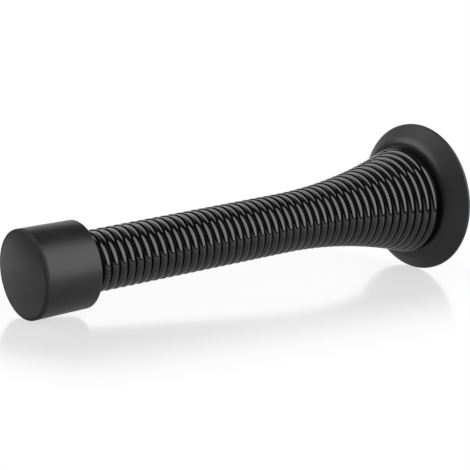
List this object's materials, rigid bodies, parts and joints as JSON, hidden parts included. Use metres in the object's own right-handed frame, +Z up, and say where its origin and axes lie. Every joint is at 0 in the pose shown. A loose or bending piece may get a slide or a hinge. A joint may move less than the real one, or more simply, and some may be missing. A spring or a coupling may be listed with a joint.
{
  "type": "spring door stop",
  "caption": "Wall door stop: a coned base plate, a flared close-wound spring and a rubber tip. The tip swings aside on the bending spring and returns.",
  "frame": {"origin": "centre of the base's back face, on the wall plane, in the mouth of the screw hole", "axes": "+Z up, +Y into the wall along the screw hole, so the stop points along -Y"},
  "size_m": [0.0254, 0.0794, 0.0254],
  "materials": {
    "base_coating": "satin black coating",
    "spring_coating": "gloss black coating",
    "tip_rubber": "satin black rubber"
  },
  "bodies": {
    "wall_side": {"base": "base_coating", "spring": "spring_coating"},
    "tip_side": {"bumper_tip": "tip_rubber"}
  },
  "joints": [
    {"name": "spring_flex", "type": "hinge", "parent": "wall_side", "child": "tip_side", "pos_m": [0, -0.0263, 0], "axis": [0, 0, 1], "range_deg": [-60, 60], "stiffness_Nm_per_rad": 0.033, "deforming": ["spring"]}
  ]
}
